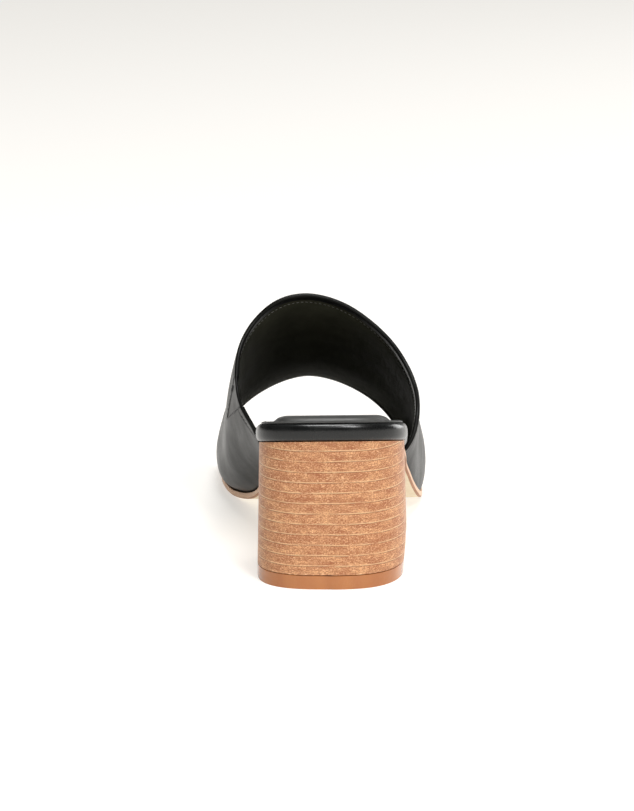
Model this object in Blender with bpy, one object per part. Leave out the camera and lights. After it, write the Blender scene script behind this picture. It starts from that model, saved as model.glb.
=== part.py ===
"""Heeled slide mule for the right foot: open toe, open back, block heel.

Metres. +Y runs from the heel to the toe, +X to the outer (lateral) side, +Z up.
The origin is the middle of the heel's tread on the floor. Inside the functions a
place along the shoe is measured from the back of the seat, and `put` moves it
to the origin's frame. Side -1 is medial, side +1 is lateral.
"""

import math

import bmesh
import bpy
from mathutils import Vector

# Driving sizes of the shoe
LENGTH = 0.228
SEAT_WIDTH = 0.0600
BALL_WIDTH = 0.0864
HEEL_RISE = 0.0576
INSTEP_HEIGHT = 0.0860
TOE_SPRING = 0.0050

# Thicknesses
GAP = 0.0003
OUTSOLE = 0.0027
FOOTBED_SEAT = 0.0070
FOOTBED_TOE = 0.0056
SOCK = 0.0006
UPPER_WALL = 0.0024
TOP_PIECE = 0.0055

# Heel
HEEL_DEPTH_TOP = 0.0560
HEEL_DEPTH_TREAD = 0.0490
HEEL_INSET_TOP = {-1: 0.0014, 1: 0.0014}
HEEL_INSET_TREAD = {-1: 0.0006, 1: 0.0001}
TREAD_ROUNDING = 0.0006

# Edges
OUTSOLE_CHAMFER = 0.0007
BREAST_DRAW_IN = 0.0016
BREAST_RAMP = 0.0240
RAND_BULGE = 0.0014
UPPER_SET_IN = 0.0003
COVER_RAMP = 0.0090
WALL_CLEARANCE = 0.0010
SOCK_MARGIN = 0.0026
SOCK_MARGIN_COVERED = 0.0010
PAD_RISE = 0.0023
PAD_INSET = 0.0092
PAD_SLOPE = 0.0065
PAD_END = 0.0780
PAD_FRONT_FALL = 0.35

# Side gore
GORE_RECESS = 0.0005
GORE_WALL = 0.0014

# Seat and toe ends of the outline
SEAT_CENTRE = -0.0010
SEAT_ARC = {-1: 0.024, 1: 0.034}
SEAT_POWER = 2.6
TOE_TIP = -0.0060
TOE_POWER = {-1: 2.3, 1: 2.05}

# Outline of the sole: share of the length, and how far the edge lies from the
# seat's half width (0) towards the ball's half width (1)
EDGE = {
    -1: [
        (0.105, -0.02),
        (0.210, -0.12),
        (0.285, -0.22),
        (0.360, -0.33),
        (0.430, -0.37),
        (0.490, -0.32),
        (0.548, -0.12),
        (0.600, 0.15),
        (0.650, 0.46),
        (0.700, 0.67),
        (0.755, 0.78),
        (0.790, 0.80),
    ],
    1: [
        (0.149, 0.08),
        (0.210, 0.19),
        (0.285, 0.26),
        (0.360, 0.33),
        (0.430, 0.55),
        (0.490, 0.77),
        (0.548, 0.98),
        (0.600, 1.11),
        (0.650, 1.18),
        (0.692, 1.20),
    ],
}

# Height of the sole's underside: share of the length, share of the heel's rise
RISE = [
    (0.000, 1.000),
    (0.090, 0.915),
    (0.200, 0.812),
    (0.290, 0.666),
    (0.350, 0.537),
    (0.417, 0.377),
    (0.482, 0.220),
    (0.548, 0.092),
    (0.600, 0.031),
    (0.636, 0.008),
    (0.664, 0.000),
    (0.745, 0.000),
]
FLAT_END = RISE[-1][0]

# Rounded edge of the footbed, from its lower to its upper rim: how far it is
# drawn in, a share of the bulge, and height, a share of the thickness
RAND_PROFILE = [
    (1.00, 0.00),
    (0.45, 0.12),
    (0.05, 0.35),
    (0.05, 0.62),
    (0.50, 0.88),
    (1.40, 1.00),
]

# Sections of the upper: share of the length, lean out of the medial and the
# lateral wall past the sole's edge and shift of the ridge (shares of the ball's
# width), height of the widest line above the footbed's underside and height of
# the ridge (shares of the instep height), and fullness of the medial and the
# lateral shoulder
SECTIONS = [
    (0.240, 0.030, 0.066, -0.058, 0.270, 0.930, 2.20, 1.90),
    (0.350, 0.088, 0.073, -0.058, 0.310, 0.990, 2.20, 1.90),
    (0.395, 0.119, 0.058, -0.058, 0.320, 1.030, 2.20, 1.85),
    (0.439, 0.140, 0.035, -0.058, 0.315, 1.055, 2.20, 1.80),
    (0.474, 0.152, 0.023, -0.058, 0.304, 1.037, 2.20, 1.75),
    (0.504, 0.157, 0.014, -0.058, 0.285, 1.016, 2.18, 1.75),
    (0.535, 0.148, 0.010, -0.055, 0.261, 0.992, 2.16, 1.75),
    (0.592, 0.117, 0.011, -0.048, 0.211, 0.925, 2.10, 1.80),
    (0.658, 0.073, 0.022, -0.040, 0.150, 0.815, 2.00, 1.85),
    (0.724, 0.042, 0.027, -0.031, 0.130, 0.697, 1.90, 1.85),
    (0.789, 0.030, 0.028, -0.023, 0.117, 0.585, 1.80, 1.80),
    (0.842, 0.024, 0.022, -0.018, 0.112, 0.508, 1.72, 1.80),
    (0.899, 0.018, 0.016, -0.016, 0.105, 0.430, 1.70, 1.80),
]
WIDEST = 0.75
FOOT_POWER = 0.52
EDGE_ROLL = 0.35

# Rear edge (topline) and front edge (toe opening) of the upper: place across,
# -1 at the medial sole edge, 0 on the ridge, +1 at the lateral sole edge, and
# share of the length
TOPLINE = [
    (-1.000, 0.254),
    (-0.960, 0.272),
    (-0.840, 0.350),
    (-0.668, 0.436),
    (-0.544, 0.472),
    (-0.417, 0.504),
    (-0.260, 0.524),
    (0.040, 0.536),
    (0.260, 0.522),
    (0.510, 0.472),
    (0.630, 0.435),
    (0.720, 0.400),
    (0.845, 0.352),
    (0.960, 0.328),
    (1.000, 0.322),
]
TOE_EDGE = [
    (-1.000, 0.835),
    (-0.750, 0.846),
    (-0.480, 0.868),
    (-0.250, 0.890),
    (0.000, 0.899),
    (0.250, 0.888),
    (0.500, 0.866),
    (0.650, 0.851),
    (0.800, 0.837),
    (1.000, 0.822),
]

# V of the side gore: shares of the length and of the instep height, and how far
# its cutter goes on past the topline
GORE_POINT = (0.504, 0.494)
GORE_UPPER = (0.453, 0.684)
GORE_LOWER = (0.384, 0.628)
GORE_REACH = 1.5

# Mesh density, and how strongly the rungs crowd at the rounded ends
SEAT_RUNGS = 10
SIDE_RUNGS = 18
TOE_RUNGS = 10
TOE_START = 0.80
SEAT_CROWDING = 3.0
TOE_CROWDING = 2.4
HEEL_RUNGS = 14
HEEL_RINGS = 3
FOOTBED_SEGMENTS = 3
SOCK_SEGMENTS = 14
OUTSOLE_SEGMENTS = 2
UPPER_ACROSS = 44
UPPER_ALONG = 20
NORMAL_STEP_ACROSS = 0.012
NORMAL_STEP_ALONG = 0.0015

ORIGIN_Y = HEEL_DEPTH_TREAD / 2


def put(x, y, z):
    """A point measured from the back of the seat, in the frame of the origin."""
    return Vector((x, y - ORIGIN_Y, z))


def smooth(rows, x, column=1):
    """Value of a table at x on a smooth curve that doesn't overshoot its rows."""
    xs = [row[0] for row in rows]
    ys = [row[column] for row in rows]
    if x <= xs[0]:
        return ys[0]
    if x >= xs[-1]:
        return ys[-1]
    slopes = [(ys[i + 1] - ys[i]) / (xs[i + 1] - xs[i]) for i in range(len(xs) - 1)]
    tangents = [slopes[0]]
    for before, after in zip(slopes, slopes[1:]):
        same_way = before * after > 0
        tangents.append(2 * before * after / (before + after) if same_way else 0.0)
    tangents.append(slopes[-1])
    i = max(k for k in range(len(xs) - 1) if xs[k] <= x)
    step = xs[i + 1] - xs[i]
    t = (x - xs[i]) / step
    start = ys[i] * (1 + 2 * t) * (1 - t) ** 2 + tangents[i] * step * t * (1 - t) ** 2
    end = ys[i + 1] * t * t * (3 - 2 * t) - tangents[i + 1] * step * t * t * (1 - t)
    return start + end


def ease(value):
    """0 below 0, 1 above 1, smooth between."""
    t = min(max(value, 0.0), 1.0)
    return t * t * (3 - 2 * t)


def table_edge(side, y):
    """Distance of the sole's edge from the axis, between the seat and the ball."""
    reach = smooth(EDGE[side], y / LENGTH)
    return SEAT_WIDTH / 2 + reach * (BALL_WIDTH - SEAT_WIDTH) / 2


def sole_edge(side, y):
    """X of the sole's edge at a place along the shoe."""
    y = min(max(y, 0.0), LENGTH)
    seat_end = SEAT_ARC[side]
    ball = EDGE[side][-1][0] * LENGTH
    if y < seat_end:
        power = SEAT_POWER
        half = table_edge(side, seat_end) - side * SEAT_CENTRE
        share = (1 - ((seat_end - y) / seat_end) ** power) ** (1 / power)
        return SEAT_CENTRE + side * half * share
    if y <= ball:
        return side * table_edge(side, y)
    power = TOE_POWER[side]
    half = table_edge(side, ball) - side * TOE_TIP
    share = max(1 - ((y - ball) / (LENGTH - ball)) ** power, 0.0) ** (1 / power)
    return TOE_TIP + side * half * share


def underside(y):
    """Height of the sole's lower face: heel pitch, flat tread, toe spring."""
    share = y / LENGTH
    if share <= FLAT_END:
        return HEEL_RISE * smooth(RISE, share)
    return TOE_SPRING * ((share - FLAT_END) / (1 - FLAT_END)) ** 2


def bed(y):
    """Height on which the footbed and the edge of the upper sit."""
    return underside(y) + OUTSOLE + GAP


def footbed_top(y):
    """Height of the footbed's upper face."""
    thickness = FOOTBED_SEAT + (FOOTBED_TOE - FOOTBED_SEAT) * ease(y / LENGTH)
    return bed(y) + thickness


def rungs(start, end):
    """Places along the shoe, close together at the rounded ends."""
    seat = max(SEAT_ARC.values())
    toe = TOE_START * LENGTH
    places = [seat * (i / SEAT_RUNGS) ** SEAT_CROWDING for i in range(SEAT_RUNGS)]
    places += [seat + (toe - seat) * i / SIDE_RUNGS for i in range(SIDE_RUNGS)]
    for i in range(TOE_RUNGS, -1, -1):
        places.append(LENGTH - (LENGTH - toe) * (i / TOE_RUNGS) ** TOE_CROWDING)
    inside = [y for y in places if start + GAP < y < end - GAP]
    return [start] + inside + [end]


def outline(places):
    """Points and outward directions of the sole's edge, medial and lateral lists."""
    loops = {}
    for side in (-1, 1):
        points = [Vector((sole_edge(side, y), y)) for y in places]
        outward = []
        for i in range(len(places)):
            before = points[max(i - 1, 0)]
            after = points[min(i + 1, len(points) - 1)]
            if i == 0 and places[0] == 0.0:
                before = Vector((2 * points[0].x - points[1].x, points[1].y))
            if i == len(points) - 1 and places[-1] == LENGTH:
                after = Vector((2 * points[i].x - points[i - 1].x, points[i - 1].y))
            along = (after - before).normalized()
            outward.append(Vector((along.y, -along.x)) * side)
        loops[side] = (points, outward)
    return loops


def mesh_object(name, verts, faces, material):
    """A closed body from its points and faces, its faces turned outward."""
    mesh = bpy.data.meshes.new(name)
    bm = bmesh.new()
    made = [bm.verts.new(v) for v in verts]
    for face in faces:
        corners = []
        for k in face:
            if made[k] not in corners:
                corners.append(made[k])
        if len(corners) > 2:
            bm.faces.new(corners)
    bmesh.ops.remove_doubles(bm, verts=bm.verts, dist=1e-6)
    bmesh.ops.dissolve_degenerate(bm, edges=bm.edges, dist=1e-7)
    bmesh.ops.triangulate(bm, faces=bm.faces)
    bmesh.ops.recalc_face_normals(bm, faces=bm.faces)
    bm.to_mesh(mesh)
    bm.free()
    mesh.shade_smooth()
    mesh.set_sharp_from_angle(angle=math.radians(40))
    mesh.materials.append(material)
    obj = bpy.data.objects.new(name, mesh)
    bpy.context.scene.collection.objects.link(obj)
    return obj


def plate(name, places, levels, across, material, crown=None):
    """A body under the foot. `levels` are pairs of functions, from the rim of the
    lower face round to the rim of the upper face: the offset from the sole's edge
    at a side and a place, and the height at a place. `across` is the number of
    parts of the lower and the upper face, and `crown` raises the upper face."""
    loops = outline(places)
    verts = []
    rim = {}
    for level, (offset, height) in enumerate(levels):
        for side in (-1, 1):
            points, outward = loops[side]
            for i, y in enumerate(places):
                spot = points[i] + outward[i] * offset(side, y)
                rim[level, side, i] = len(verts)
                verts.append(put(spot.x, spot.y, height(spot.y)))
    faces = []
    count = len(places)
    for level in range(len(levels) - 1):
        for side in (-1, 1):
            for i in range(count - 1):
                faces.append(
                    (
                        rim[level, side, i],
                        rim[level, side, i + 1],
                        rim[level + 1, side, i + 1],
                        rim[level + 1, side, i],
                    )
                )
    last = len(levels) - 1
    caps = []
    for level, parts in ((0, across[0]), (last, across[1])):
        lines = []
        for i in range(count):
            ends = rim[level, -1, i], rim[level, 1, i]
            line = [ends[0]]
            for k in range(1, parts):
                spot = verts[ends[0]].lerp(verts[ends[1]], k / parts)
                if level and crown:
                    spot.z += crown(spot.x, spot.y + ORIGIN_Y)
                line.append(len(verts))
                verts.append(spot)
            line.append(ends[1])
            lines.append(line)
        for one, two in zip(lines, lines[1:]):
            for k in range(parts):
                faces.append((one[k], one[k + 1], two[k + 1], two[k]))
        caps.append(lines)
    for i in (0, count - 1):
        if (verts[rim[0, 1, i]] - verts[rim[0, -1, i]]).length < GAP:
            continue
        lateral = [rim[level, 1, i] for level in range(1, last)]
        medial = [rim[level, -1, i] for level in range(last - 1, 0, -1)]
        faces.append((*caps[0][i], *lateral, *reversed(caps[1][i]), *medial))
    return mesh_object(name, verts, faces, material)


def covered(side, y):
    """1 where the upper's wall stands on the sole's edge, 0 at seat and toe."""
    ends = 0 if side < 0 else -1
    rear = TOPLINE[ends][1] * LENGTH - UPPER_WALL
    front = TOE_EDGE[ends][1] * LENGTH + UPPER_WALL
    return ease((y - rear) / COVER_RAMP + 1) * ease((front - y) / COVER_RAMP + 1)


def wall_inset(side, y, height):
    """How far inside the sole's edge the wall's inner face lies, at a height over its foot."""
    previous = UPPER_SET_IN + UPPER_WALL
    previous_height = 0.0
    for k in range(1, UPPER_ACROSS):
        spot = skin(side * (1 - 2 * k / UPPER_ACROSS), y, UPPER_WALL)
        inset = side * (sole_edge(side, y) - spot.x)
        rise = spot.z - bed(y)
        if rise >= height:
            share = (height - previous_height) / (rise - previous_height)
            return previous + (inset - previous) * share
        previous = inset
        previous_height = rise
    return previous


def footbed_inset(side, y, height):
    """How far the footbed stands back from the sole's edge at a height."""
    return (wall_inset(side, y, height) + WALL_CLEARANCE) * covered(side, y)


def make_footbed(material):
    """The wrapped board: bare and rounded at the seat and the toe, else up to the wall."""

    def level(depth, share):
        """A line round the edge, drawn in by a share of the bulge's depth."""

        def height(y):
            return bed(y) + share * (footbed_top(y) - bed(y))

        def offset(side, y):
            bulge = depth * RAND_BULGE * (1 - covered(side, y))
            return -footbed_inset(side, y, height(y) - bed(y)) - bulge

        return offset, height

    levels = [level(depth, share) for depth, share in RAND_PROFILE]
    across = (FOOTBED_SEGMENTS, FOOTBED_SEGMENTS)
    return plate("footbed", rungs(0.0, LENGTH), levels, across, material)


def make_outsole(material):
    """The thin sole, from the heel's breast to the toe."""

    def edge(side, y):
        return -BREAST_DRAW_IN * (1 - ease((y - HEEL_DEPTH_TOP) / BREAST_RAMP))

    def chamfer(side, y):
        return edge(side, y) - OUTSOLE_CHAMFER

    def middle(y):
        return underside(y) + OUTSOLE_CHAMFER

    def high(y):
        return underside(y) + OUTSOLE

    levels = [(chamfer, underside), (edge, middle), (edge, high)]
    places = rungs(HEEL_DEPTH_TOP + GAP, LENGTH)
    across = (OUTSOLE_SEGMENTS, OUTSOLE_SEGMENTS)
    return plate("outsole", places, levels, across, material)


def pad_height(x, y):
    """The cushion under the sock at the seat, over its place in plan."""
    inner = {side: sole_edge(side, y) - side * PAD_INSET for side in (-1, 1)}
    to_sides = min(x - inner[-1], inner[1] - x)
    to_back = y - PAD_INSET - rear_curve(x)
    to_front = (PAD_END - y) * PAD_FRONT_FALL
    return PAD_RISE * ease(min(to_sides, to_back, to_front) / PAD_SLOPE)


def rear_curve(x):
    """How far forward the seat's back edge lies at a place across."""
    side = 1 if x > SEAT_CENTRE else -1
    half = table_edge(side, SEAT_ARC[side]) - side * SEAT_CENTRE
    share = min(abs(x - SEAT_CENTRE) / half, 1.0)
    return SEAT_ARC[side] * (1 - (1 - share**SEAT_POWER) ** (1 / SEAT_POWER))


def make_sock(material):
    """The lining sock, raised over the cushion at the seat."""

    def margin(side, y):
        bare = SOCK_MARGIN * (1 - covered(side, y)) + SOCK_MARGIN_COVERED * covered(side, y)
        return -footbed_inset(side, y, footbed_top(y) - bed(y)) - bare

    def low(y):
        return footbed_top(y) + GAP

    def high(y):
        return low(y) + SOCK

    levels = [(margin, low), (margin, high)]
    across = (1, SOCK_SEGMENTS)
    return plate("sock", rungs(0.0, LENGTH), levels, across, material, crown=pad_height)


def heel_outline(inset, depth):
    """Plan of the heel: the seat's curve, drawn in, cut off at the breast."""
    places = [depth * (i / HEEL_RUNGS) ** SEAT_CROWDING for i in range(HEEL_RUNGS + 1)]
    loops = outline(places)
    sides = {}
    for side in (-1, 1):
        points, outward = loops[side]
        sides[side] = [point - away * inset[side] for point, away in zip(points, outward)]
        sides[side][-1].y = depth
    return [*reversed(sides[-1]), *sides[1][1:]]


def loft_heel(name, rings, material):
    """A body through rings of equal count, each a list of points, low to high."""
    count = len(rings[0])
    verts = [point for ring in rings for point in ring]
    faces = []
    for level in range(len(rings) - 1):
        for i in range(count):
            a = level * count + i
            b = level * count + (i + 1) % count
            faces.append((a, b, b + count, a + count))
    for base in (0, (len(rings) - 1) * count):
        for i in range(count // 2):
            faces.append((base + i, base + i + 1, base + count - 2 - i, base + count - 1 - i))
    return mesh_object(name, verts, faces, material)


def make_heel(material):
    """The block: its top follows the seat's pitch, its foot is level."""
    top = heel_outline(HEEL_INSET_TOP, HEEL_DEPTH_TOP)
    tread = heel_outline(HEEL_INSET_TREAD, HEEL_DEPTH_TREAD)
    rings = []
    foot = TOP_PIECE + GAP
    for k in range(HEEL_RINGS + 1):
        share = k / HEEL_RINGS
        ring = []
        for low, high in zip(tread, top):
            spot = low.lerp(high, share)
            head = bed(high.y) - GAP
            ring.append(put(spot.x, spot.y, foot + (head - foot) * share))
        rings.append(ring)
    return loft_heel("heel_block", rings, material)


def make_top_piece(material):
    """The lift on the heel's foot, with a softened lower edge."""
    plan = heel_outline(HEEL_INSET_TREAD, HEEL_DEPTH_TREAD)
    centre = Vector((0.0, ORIGIN_Y))
    rings = []
    for inset, z in ((TREAD_ROUNDING, 0.0), (0.0, TREAD_ROUNDING), (0.0, TOP_PIECE)):
        ring = []
        for point in plan:
            spot = point + (centre - point).normalized() * inset
            ring.append(put(spot.x, spot.y, z))
        rings.append(ring)
    return loft_heel("top_piece", rings, material)


def skin(u, y, depth=0.0):
    """Point of the upper's outer face at a place across and along, or that far inside."""
    if depth:
        return skin(u, y) - skin_normal(u, y) * depth
    share = y / LENGTH
    side = 1 if u > 0 else -1
    power = smooth(SECTIONS, share, 6 if side < 0 else 7)
    foot = side * sole_edge(side, y) - UPPER_SET_IN
    lean = smooth(SECTIONS, share, 1 if side < 0 else 2) * BALL_WIDTH
    widest = foot + lean
    ridge = side * smooth(SECTIONS, share, 3) * BALL_WIDTH
    low = smooth(SECTIONS, share, 4) * INSTEP_HEIGHT
    high = smooth(SECTIONS, share, 5) * INSTEP_HEIGHT
    place = abs(u)
    if place > WIDEST:
        t = (1 - place) / (1 - WIDEST)
        x = foot + (widest - foot) * math.sin(t * math.pi / 2) ** FOOT_POWER
        z = low * t
    else:
        angle = (1 - place / WIDEST) * math.pi / 2
        x = ridge + (widest - ridge) * max(math.cos(angle), 0.0) ** (2 / power)
        z = low + (high - low) * math.sin(angle) ** (2 / power)
    return Vector((side * x, y, bed(y) + z))


def skin_normal(u, y):
    """Outward direction of the upper's face."""
    low_u = max(u - NORMAL_STEP_ACROSS, -1.0)
    high_u = min(u + NORMAL_STEP_ACROSS, 1.0)
    across = skin(high_u, y) - skin(low_u, y)
    along = skin(u, y + NORMAL_STEP_ALONG) - skin(u, y - NORMAL_STEP_ALONG)
    return across.cross(along).normalized()


def shell(name, outer, wall, material):
    """The band over the foot, `outer` inside the upper's face and `wall` thick."""
    verts = []
    number = {}
    for i in range(UPPER_ACROSS + 1):
        u = -1 + 2 * i / UPPER_ACROSS
        rear = smooth(TOPLINE, u) * LENGTH
        front = smooth(TOE_EDGE, u) * LENGTH
        for j in range(UPPER_ALONG + 1):
            y = rear + (front - rear) * j / UPPER_ALONG
            for layer, depth in enumerate((outer, outer + wall)):
                if i in (0, UPPER_ACROSS):
                    side = -1 if i == 0 else 1
                    spot = skin(u, y)
                    spot.x -= side * depth
                else:
                    spot = skin(u, y, depth) if depth else skin(u, y)
                number[layer, i, j] = len(verts)
                verts.append(spot)
        for layer, j, near in ((2, 0, 1), (3, UPPER_ALONG, UPPER_ALONG - 1)):
            outer_spot = verts[number[0, i, j]]
            inner_spot = verts[number[1, i, j]]
            away = (outer_spot - verts[number[0, i, near]]).normalized()
            number[layer, i] = len(verts)
            verts.append((outer_spot + inner_spot) / 2 + away * wall * EDGE_ROLL)
    faces = []
    for i in range(UPPER_ACROSS):
        for j in range(UPPER_ALONG):
            for layer in (0, 1):
                faces.append(
                    (
                        number[layer, i, j],
                        number[layer, i + 1, j],
                        number[layer, i + 1, j + 1],
                        number[layer, i, j + 1],
                    )
                )
        for row, j in ((2, 0), (3, UPPER_ALONG)):
            for layer in (0, 1):
                faces.append(
                    (
                        number[layer, i, j],
                        number[layer, i + 1, j],
                        number[row, i + 1],
                        number[row, i],
                    )
                )
    for i in (0, UPPER_ACROSS):
        for j in range(UPPER_ALONG):
            faces.append(
                (
                    number[0, i, j],
                    number[0, i, j + 1],
                    number[1, i, j + 1],
                    number[1, i, j],
                )
            )
        for row, j in ((2, 0), (3, UPPER_ALONG)):
            faces.append((number[0, i, j], number[1, i, j], number[row, i]))
    return mesh_object(name, [put(*v) for v in verts], faces, material)


def gore_wedge(name, shrink):
    """A wedge through the medial wall, its faces drawn in by `shrink`."""
    point, upper, lower = (
        Vector((share * LENGTH, height * INSTEP_HEIGHT))
        for share, height in (GORE_POINT, GORE_UPPER, GORE_LOWER)
    )
    upper = point + (upper - point) * GORE_REACH
    lower = point + (lower - point) * GORE_REACH
    middle = (upper + lower) / 2
    half_angle = (upper - point).angle(lower - point) / 2
    tip = point + (middle - point).normalized() * shrink / math.sin(half_angle)
    corners = [tip, tip + (upper - point), tip + (lower - point)]
    inner = SEAT_WIDTH / 4
    outer = BALL_WIDTH
    verts = [put(-x, spot.x, spot.y) for x in (inner, outer) for spot in corners]
    faces = [(0, 1, 2), (3, 5, 4), (0, 3, 4, 1), (1, 4, 5, 2), (2, 5, 3, 0)]
    mesh = bpy.data.meshes.new(name)
    mesh.from_pydata(verts, [], faces)
    bm = bmesh.new()
    bm.from_mesh(mesh)
    bmesh.ops.recalc_face_normals(bm, faces=bm.faces)
    bm.to_mesh(mesh)
    bm.free()
    obj = bpy.data.objects.new(name, mesh)
    bpy.context.scene.collection.objects.link(obj)
    obj.hide_render = True
    obj.display_type = "WIRE"
    return obj


def cut(obj, cutter, operation):
    """Cut an object by another, or keep what both share."""
    modifier = obj.modifiers.new("cut", "BOOLEAN")
    modifier.operation = operation
    modifier.object = cutter
    modifier.solver = "EXACT"


def make_upper(leather, lining):
    """The band with its V notch, and the gore that fills the notch."""
    upper = shell("upper", 0.0, UPPER_WALL, leather)
    cut(upper, gore_wedge("gore_notch", 0.0), "DIFFERENCE")
    gore = shell("side_gore", GORE_RECESS, GORE_WALL, lining)
    cut(gore, gore_wedge("gore_outline", GAP), "INTERSECT")


def make_material(name, colour, roughness, coat=0.0):
    """A plain surface."""
    material = bpy.data.materials.new(name)
    material.use_nodes = True
    shader = material.node_tree.nodes["Principled BSDF"]
    shader.inputs["Base Color"].default_value = (*colour, 1.0)
    shader.inputs["Roughness"].default_value = roughness
    shader.inputs["Metallic"].default_value = 0.0
    shader.inputs["Coat Weight"].default_value = coat
    return material


def main():
    for obj in list(bpy.data.objects):
        bpy.data.objects.remove(obj, do_unlink=True)
    leather = make_material("black_leather", (0.012, 0.012, 0.013), 0.38)
    rand_leather = make_material("rand_leather", (0.010, 0.011, 0.011), 0.30)
    lining = make_material("black_lining", (0.010, 0.009, 0.008), 0.50)
    stacked = make_material("stacked_leather", (0.52, 0.23, 0.10), 0.50)
    lift = make_material("tan_lift", (0.50, 0.17, 0.06), 0.20, coat=0.5)
    tan = make_material("tan_sole", (0.58, 0.33, 0.20), 0.45)
    make_upper(leather, lining)
    make_footbed(rand_leather)
    make_sock(lining)
    make_outsole(tan)
    make_heel(stacked)
    make_top_piece(lift)


main()
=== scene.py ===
"""Looks of a heeled slide mule: black leather band, wrapped footbed, tan sole, stacked heel.

Each solid of the frame is replaced by a finer piece on the same surfaces, worked
out from the same sizes. Metres, +Y towards the toe, +X to the outer side, +Z up,
with the origin at the middle of the heel's tread. Inside the functions a place
along the shoe is measured from the back of the seat, and `put` moves it to the
origin's frame. Side -1 is medial, side +1 is lateral.
"""

import math

import bmesh
import bpy
import numpy as np
from mathutils import Matrix, Vector


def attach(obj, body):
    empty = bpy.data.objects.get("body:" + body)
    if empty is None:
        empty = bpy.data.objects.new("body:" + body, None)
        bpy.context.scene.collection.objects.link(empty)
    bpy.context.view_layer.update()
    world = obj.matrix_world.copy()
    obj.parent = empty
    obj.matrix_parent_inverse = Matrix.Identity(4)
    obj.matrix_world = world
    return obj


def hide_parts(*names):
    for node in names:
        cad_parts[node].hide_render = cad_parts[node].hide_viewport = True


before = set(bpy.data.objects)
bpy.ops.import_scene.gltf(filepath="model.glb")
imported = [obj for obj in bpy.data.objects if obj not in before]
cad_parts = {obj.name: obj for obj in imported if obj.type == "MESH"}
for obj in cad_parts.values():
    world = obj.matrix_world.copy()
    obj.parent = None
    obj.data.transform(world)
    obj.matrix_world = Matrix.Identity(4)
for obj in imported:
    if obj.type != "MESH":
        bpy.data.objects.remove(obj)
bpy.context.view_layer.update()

MM = 0.001

# Sizes of the shoe, as in its solids but for the footbed's clearance and the sock's
# margin, which are smaller here
LENGTH = 0.228
SEAT_WIDTH = 0.0600
BALL_WIDTH = 0.0864
HEEL_RISE = 0.0576
INSTEP_HEIGHT = 0.0860
TOE_SPRING = 0.0050
GAP = 0.0003
OUTSOLE = 0.0027
FOOTBED_SEAT = 0.0070
FOOTBED_TOE = 0.0056
SOCK = 0.0006
UPPER_WALL = 0.0024
TOP_PIECE = 0.0055
HEEL_DEPTH_TOP = 0.0560
HEEL_DEPTH_TREAD = 0.0490
HEEL_INSET_TOP = {-1: 0.0014, 1: 0.0014}
HEEL_INSET_TREAD = {-1: 0.0006, 1: 0.0001}
RAND_BULGE = 0.0014
UPPER_SET_IN = 0.0003
COVER_RAMP = 0.0090
FOOTBED_CLEARANCE = 0.0003
BREAST_DRAW_IN = 0.0016
BREAST_RAMP = 0.0240
SOCK_MARGIN = 0.0021
SOCK_MARGIN_COVERED = 0.0010
PAD_RISE = 0.0023
PAD_INSET = 0.0092
PAD_SLOPE = 0.0065
PAD_END = 0.0780
PAD_FRONT_FALL = 0.35
SEAT_CENTRE = -0.0010
SEAT_ARC = {-1: 0.024, 1: 0.034}
SEAT_POWER = 2.6
TOE_TIP = -0.0060
TOE_POWER = {-1: 2.3, 1: 2.05}
ORIGIN_Y = HEEL_DEPTH_TREAD / 2

# Outline of the sole: share of the length, and how far the edge lies from the
# seat's half width (0) towards the ball's half width (1)
EDGE = {
    -1: [
        (0.105, -0.02), (0.210, -0.12), (0.285, -0.22), (0.360, -0.33),
        (0.430, -0.37), (0.490, -0.32), (0.548, -0.12), (0.600, 0.15),
        (0.650, 0.46), (0.700, 0.67), (0.755, 0.78), (0.790, 0.80),
    ],
    1: [
        (0.149, 0.08), (0.210, 0.19), (0.285, 0.26), (0.360, 0.33),
        (0.430, 0.55), (0.490, 0.77), (0.548, 0.98), (0.600, 1.11),
        (0.650, 1.18), (0.692, 1.20),
    ],
}

# Height of the sole's underside: share of the length, share of the heel's rise
RISE = [
    (0.000, 1.000), (0.090, 0.915), (0.200, 0.812), (0.290, 0.666),
    (0.350, 0.537), (0.417, 0.377), (0.482, 0.220), (0.548, 0.092),
    (0.600, 0.031), (0.636, 0.008), (0.664, 0.000), (0.745, 0.000),
]
FLAT_END = RISE[-1][0]

# Sections of the upper: share of the length, lean out of the medial and the
# lateral wall past the sole's edge and shift of the ridge (shares of the ball's
# width), height of the widest line above the footbed's underside and height of
# the ridge (shares of the instep height), and fullness of the medial and the
# lateral shoulder
SECTIONS = [
    (0.240, 0.030, 0.066, -0.058, 0.270, 0.930, 2.20, 1.90),
    (0.350, 0.088, 0.073, -0.058, 0.310, 0.990, 2.20, 1.90),
    (0.395, 0.119, 0.058, -0.058, 0.320, 1.030, 2.20, 1.85),
    (0.439, 0.140, 0.035, -0.058, 0.315, 1.055, 2.20, 1.80),
    (0.474, 0.152, 0.023, -0.058, 0.304, 1.037, 2.20, 1.75),
    (0.504, 0.157, 0.014, -0.058, 0.285, 1.016, 2.18, 1.75),
    (0.535, 0.148, 0.010, -0.055, 0.261, 0.992, 2.16, 1.75),
    (0.592, 0.117, 0.011, -0.048, 0.211, 0.925, 2.10, 1.80),
    (0.658, 0.073, 0.022, -0.040, 0.150, 0.815, 2.00, 1.85),
    (0.724, 0.042, 0.027, -0.031, 0.130, 0.697, 1.90, 1.85),
    (0.789, 0.030, 0.028, -0.023, 0.117, 0.585, 1.80, 1.80),
    (0.842, 0.024, 0.022, -0.018, 0.112, 0.508, 1.72, 1.80),
    (0.899, 0.018, 0.016, -0.016, 0.105, 0.430, 1.70, 1.80),
]
WIDEST = 0.75
FOOT_POWER = 0.52

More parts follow.
